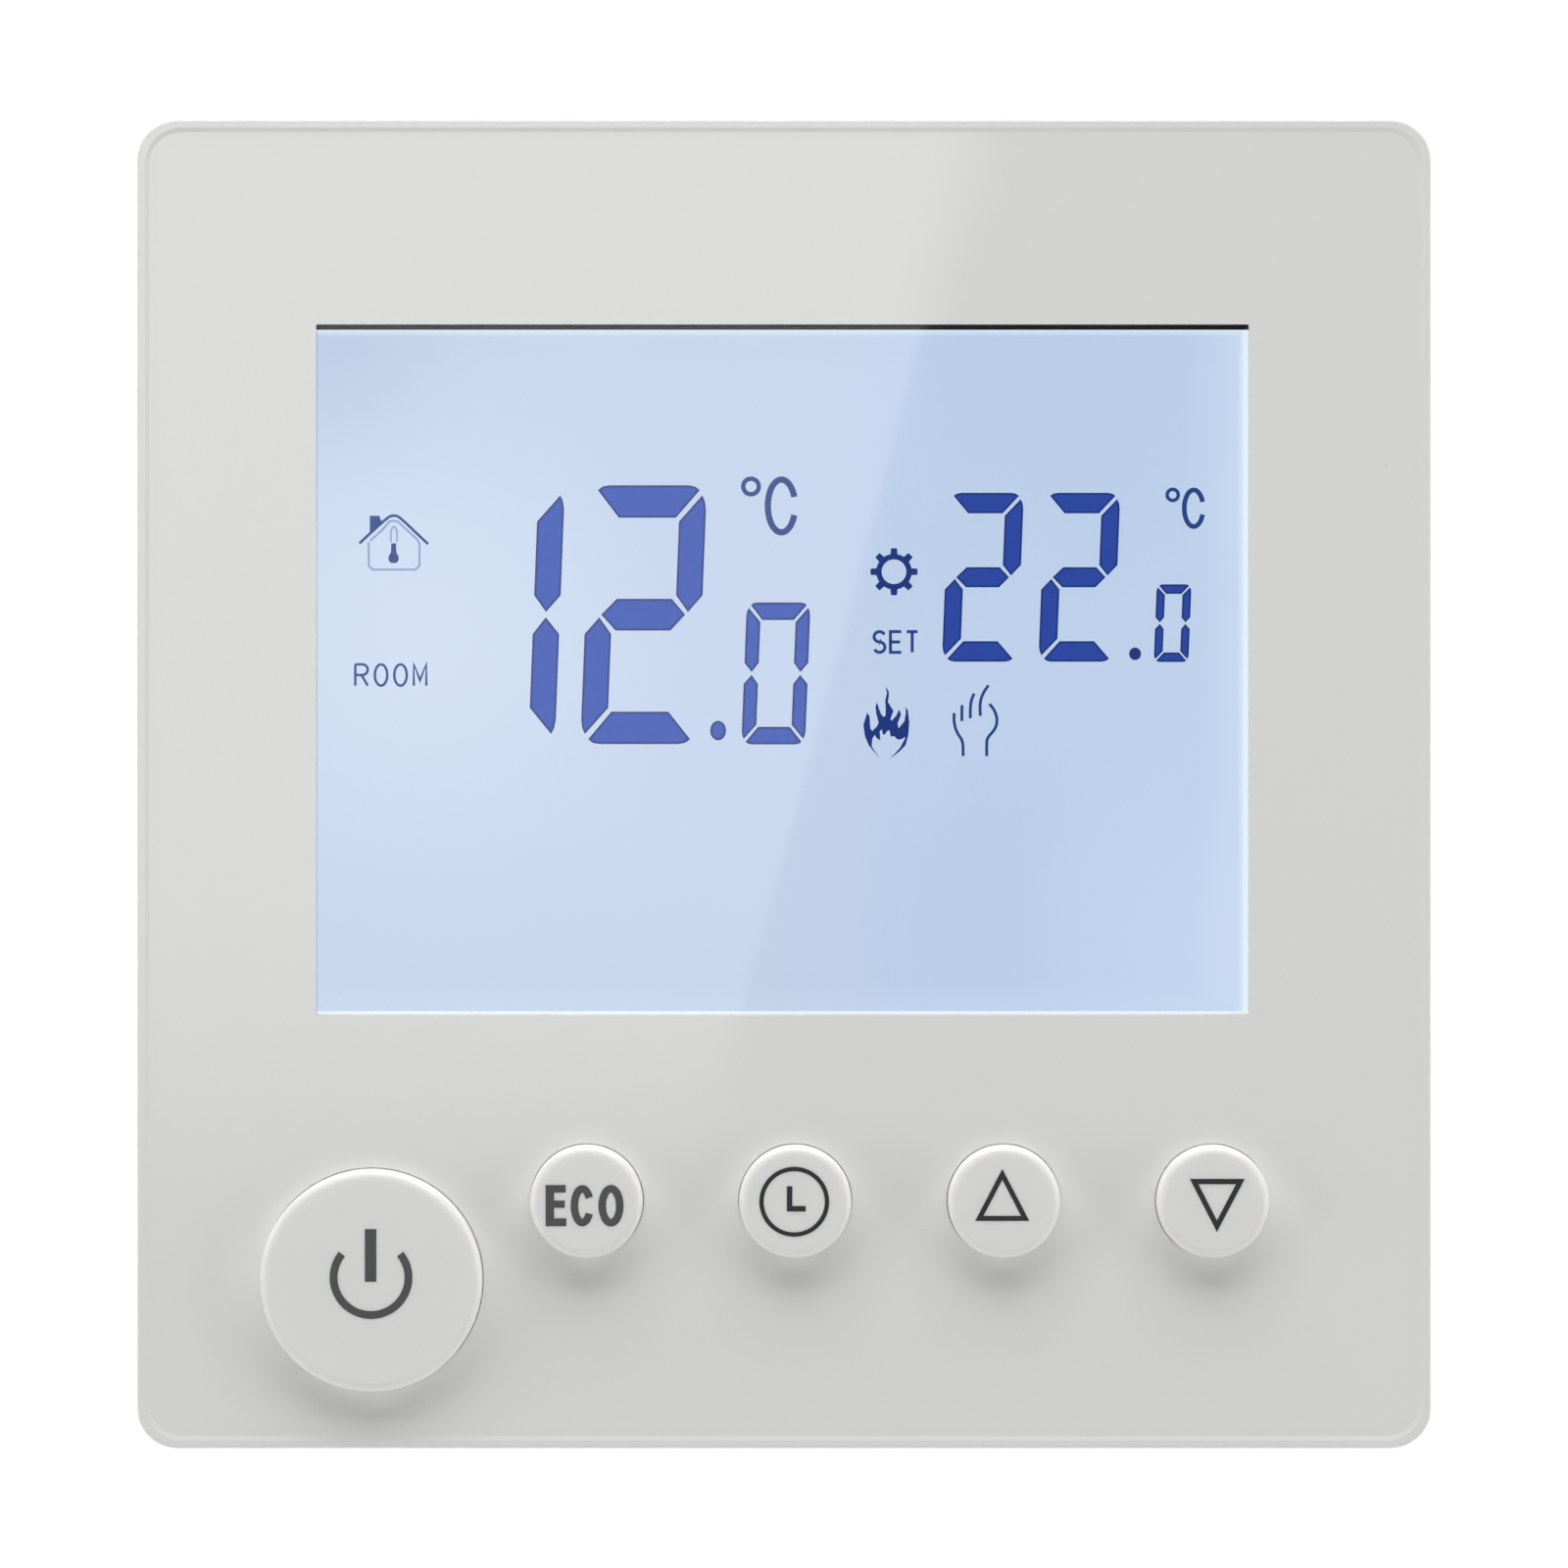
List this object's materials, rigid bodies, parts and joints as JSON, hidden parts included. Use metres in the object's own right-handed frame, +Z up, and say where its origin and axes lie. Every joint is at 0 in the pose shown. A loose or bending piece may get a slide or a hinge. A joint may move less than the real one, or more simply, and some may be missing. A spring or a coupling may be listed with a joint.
{
  "type": "wall thermostat",
  "caption": "Flush wall heating thermostat with a lit segment display, round push buttons, a pull-off front unit and a rear power box with screw terminals.",
  "frame": {"origin": "centre of the mounting plate's rear face, in the wall plane", "axes": "+X to the right of someone facing the front, -Y out of the front, +Y into the wall, +Z up"},
  "size_m": [0.086, 0.0439, 0.0882],
  "materials": {
    "white_shell": "gloss white moulding",
    "white_fascia": "polished white panel",
    "clear_window": "clear polished window",
    "display_glass": "lit pale blue liquid crystal display",
    "black_foam": "fine closed-cell foam",
    "white_inner_plastic": "satin white moulding",
    "light_guide": "polished clear acrylic",
    "led": "white package",
    "dark_rubber": "striped contact rubber",
    "circuit_board": "green solder mask",
    "switch_metal": "bright frame",
    "plunger_plastic": "black nylon",
    "chip_epoxy": "moulded epoxy",
    "chip_part": "fired ceramic",
    "bright_can": "nickel plated",
    "sensor_epoxy": "dipped bead",
    "header_plastic": "black glass-filled nylon",
    "brass_contact": "bright contact metal",
    "box_plastic": "light grey textured moulding",
    "zinc_screw": "zinc plated",
    "white_button": "satin white moulding",
    "galvanised_plate": "galvanised sheet",
    "relay_plastic": "blue moulding",
    "core_iron": "varnished laminations",
    "coil_tape": "wound and taped",
    "capacitor_sleeve": "heat-shrunk sleeve",
    "film_capacitor_shell": "moulded shell",
    "varistor_coat": "dipped coat",
    "fuse_plastic": "moulded can",
    "terminal_plastic": "dark grey polyamide",
    "plated_cage": "nickel plated"
  },
  "bodies": {
    "wall_unit": {"contact_bars": "brass_contact", "electrolytic_capacitors": "capacitor_sleeve", "film_capacitor": "film_capacitor_shell", "fuse_can": "fuse_plastic", "header_pins": "brass_contact", "mains_terminal_block": "terminal_plastic", "mounting_plate": "galvanised_plate", "pin_strip": "header_plastic", "plate_screws": "zinc_screw", "power_board": "circuit_board", "power_box": "box_plastic", "relay": "relay_plastic", "sensor_terminal_block": "terminal_plastic", "transformer_coil": "coil_tape", "transformer_core": "core_iron", "varistor": "varistor_coat"},
    "front_unit": {"front_shell": "white_shell", "fascia_panel": "white_fascia", "window_lens": "clear_window", "lcd_glass": "display_glass", "lcd_gasket": "black_foam", "lcd_holder": "white_inner_plastic", "backlight_diffuser": "light_guide", "light_guide": "light_guide", "backlight_leds": "led", "zebra_connector": "dark_rubber", "display_board": "circuit_board", "tactile_switch_bodies": "switch_metal", "controller_chip": "chip_epoxy", "small_chips": "chip_epoxy", "chip_resistors": "chip_part", "clock_crystal": "bright_can", "backup_cell": "bright_can", "room_sensor": "sensor_epoxy", "header_socket": "header_plastic", "rear_cover": "box_plastic", "cover_screws": "zinc_screw"},
    "power_key": {"power_button": "white_button", "power_plunger": "plunger_plastic"},
    "eco_key": {"eco_button": "white_button", "eco_plunger": "plunger_plastic"},
    "clock_key": {"clock_button": "white_button", "clock_plunger": "plunger_plastic"},
    "up_key": {"up_button": "white_button", "up_plunger": "plunger_plastic"},
    "down_key": {"down_button": "white_button", "down_plunger": "plunger_plastic"},
    "terminal_screw_1": {"terminal_screw_1": "zinc_screw"},
    "terminal_screw_2": {"terminal_screw_2": "zinc_screw"},
    "terminal_screw_3": {"terminal_screw_3": "zinc_screw"},
    "terminal_screw_4": {"terminal_screw_4": "zinc_screw"},
    "terminal_screw_5": {"terminal_screw_5": "zinc_screw"},
    "terminal_screw_6": {"terminal_screw_6": "zinc_screw"},
    "clamp_cage_1": {"clamp_cage_1": "plated_cage"},
    "clamp_cage_2": {"clamp_cage_2": "plated_cage"},
    "clamp_cage_3": {"clamp_cage_3": "plated_cage"},
    "clamp_cage_4": {"clamp_cage_4": "plated_cage"},
    "clamp_cage_5": {"clamp_cage_5": "plated_cage"},
    "clamp_cage_6": {"clamp_cage_6": "plated_cage"}
  },
  "joints": [
    {"name": "front_pull_off", "type": "slide", "parent": "wall_unit", "child": "front_unit", "axis": [0, -1, 0], "range_m": [0, 0.02]},
    {"name": "power_press", "type": "slide", "parent": "front_unit", "child": "power_key", "axis": [0, 1, 0], "range_m": [0, 0.0004], "stiffness_N_per_m": 3000, "springref_m": -0.0002},
    {"name": "eco_press", "type": "slide", "parent": "front_unit", "child": "eco_key", "axis": [0, 1, 0], "range_m": [0, 0.0004], "stiffness_N_per_m": 3000, "springref_m": -0.0002},
    {"name": "clock_press", "type": "slide", "parent": "front_unit", "child": "clock_key", "axis": [0, 1, 0], "range_m": [0, 0.0004], "stiffness_N_per_m": 3000, "springref_m": -0.0002},
    {"name": "up_press", "type": "slide", "parent": "front_unit", "child": "up_key", "axis": [0, 1, 0], "range_m": [0, 0.0004], "stiffness_N_per_m": 3000, "springref_m": -0.0002},
    {"name": "down_press", "type": "slide", "parent": "front_unit", "child": "down_key", "axis": [0, 1, 0], "range_m": [0, 0.0004], "stiffness_N_per_m": 3000, "springref_m": -0.0002},
    {"name": "clamp_cage_1_rise", "type": "slide", "parent": "wall_unit", "child": "clamp_cage_1", "axis": [0, 1, 0], "range_m": [0, 0.0024]},
    {"name": "terminal_screw_1_turn", "type": "hinge", "parent": "wall_unit", "child": "terminal_screw_1", "pos_m": [-0.01765, 0.0257, -0.0172], "axis": [0, -1, 0], "range_deg": [0, 1440]},
    {"name": "clamp_cage_2_rise", "type": "slide", "parent": "wall_unit", "child": "clamp_cage_2", "axis": [0, 1, 0], "range_m": [0, 0.0024]},
    {"name": "terminal_screw_2_turn", "type": "hinge", "parent": "wall_unit", "child": "terminal_screw_2", "pos_m": [-0.01015, 0.0257, -0.0172], "axis": [0, -1, 0], "range_deg": [0, 1440]},
    {"name": "clamp_cage_3_rise", "type": "slide", "parent": "wall_unit", "child": "clamp_cage_3", "axis": [0, 1, 0], "range_m": [0, 0.0024]},
    {"name": "terminal_screw_3_turn", "type": "hinge", "parent": "wall_unit", "child": "terminal_screw_3", "pos_m": [-0.00265, 0.0257, -0.0172], "axis": [0, -1, 0], "range_deg": [0, 1440]},
    {"name": "clamp_cage_4_rise", "type": "slide", "parent": "wall_unit", "child": "clamp_cage_4", "axis": [0, 1, 0], "range_m": [0, 0.0024]},
    {"name": "terminal_screw_4_turn", "type": "hinge", "parent": "wall_unit", "child": "terminal_screw_4", "pos_m": [0.00485, 0.0257, -0.0172], "axis": [0, -1, 0], "range_deg": [0, 1440]},
    {"name": "clamp_cage_5_rise", "type": "slide", "parent": "wall_unit", "child": "clamp_cage_5", "axis": [0, 1, 0], "range_m": [0, 0.0024]},
    {"name": "terminal_screw_5_turn", "type": "hinge", "parent": "wall_unit", "child": "terminal_screw_5", "pos_m": [0.0131, 0.0257, -0.0172], "axis": [0, -1, 0], "range_deg": [0, 1440]},
    {"name": "clamp_cage_6_rise", "type": "slide", "parent": "wall_unit", "child": "clamp_cage_6", "axis": [0, 1, 0], "range_m": [0, 0.0024]},
    {"name": "terminal_screw_6_turn", "type": "hinge", "parent": "wall_unit", "child": "terminal_screw_6", "pos_m": [0.0181, 0.0257, -0.0172], "axis": [0, -1, 0], "range_deg": [0, 1440]}
  ],
  "couplings": [
    {"joint": "terminal_screw_1_turn", "follows": "clamp_cage_1_rise", "rad_per_m": 10472},
    {"joint": "terminal_screw_2_turn", "follows": "clamp_cage_2_rise", "rad_per_m": 10472},
    {"joint": "terminal_screw_3_turn", "follows": "clamp_cage_3_rise", "rad_per_m": 10472},
    {"joint": "terminal_screw_4_turn", "follows": "clamp_cage_4_rise", "rad_per_m": 10472},
    {"joint": "terminal_screw_5_turn", "follows": "clamp_cage_5_rise", "rad_per_m": 10472},
    {"joint": "terminal_screw_6_turn", "follows": "clamp_cage_6_rise", "rad_per_m": 10472}
  ]
}
